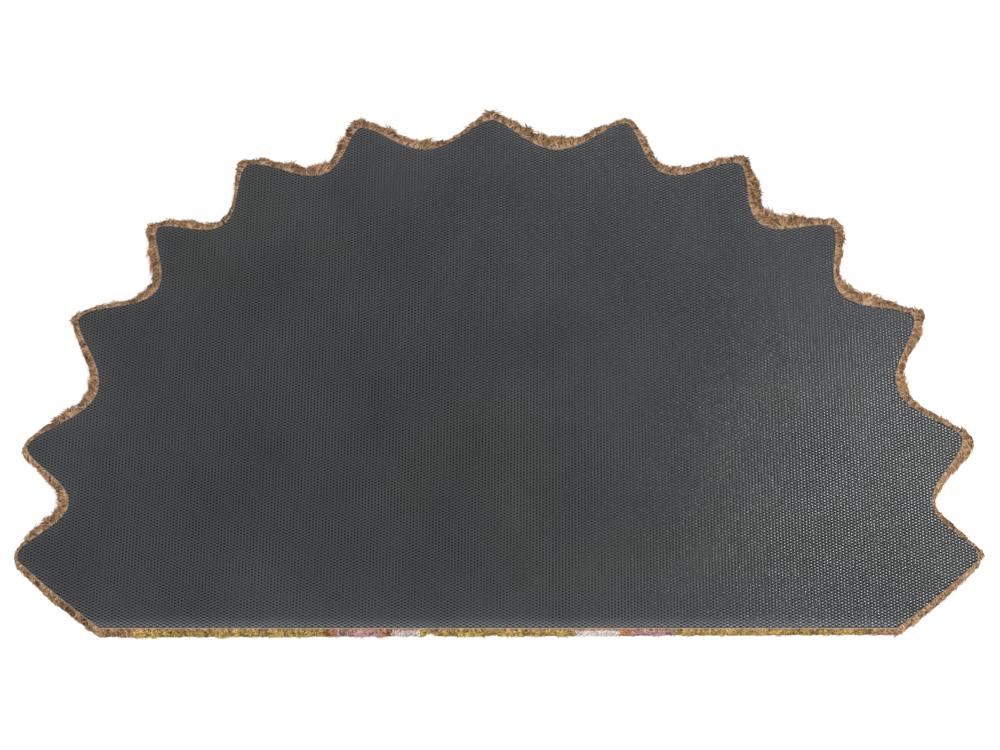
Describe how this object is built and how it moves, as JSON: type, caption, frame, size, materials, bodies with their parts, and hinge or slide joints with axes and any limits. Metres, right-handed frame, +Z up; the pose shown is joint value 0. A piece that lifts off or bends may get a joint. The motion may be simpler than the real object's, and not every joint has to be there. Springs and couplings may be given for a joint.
{
  "type": "coir doormat",
  "caption": "Half-sun doormat with a scalloped outline, a bristly coir pile and a dark embossed backing, lying face down.",
  "frame": {"origin": "centre of the ground that the doormat covers, on the surface it lies on", "axes": "+X along the straight edge, +Y from the straight edge towards the scallops, +Z up out of the backing"},
  "size_m": [0.7614, 0.4646, 0.015],
  "materials": {
    "coir": "coarse upright coconut fibre, matt",
    "pvc": "dark grey PVC with small raised pebbles, satin"
  },
  "bodies": {
    "root": {"coir_pile": "coir", "pvc_backing": "pvc"}
  },
  "joints": []
}
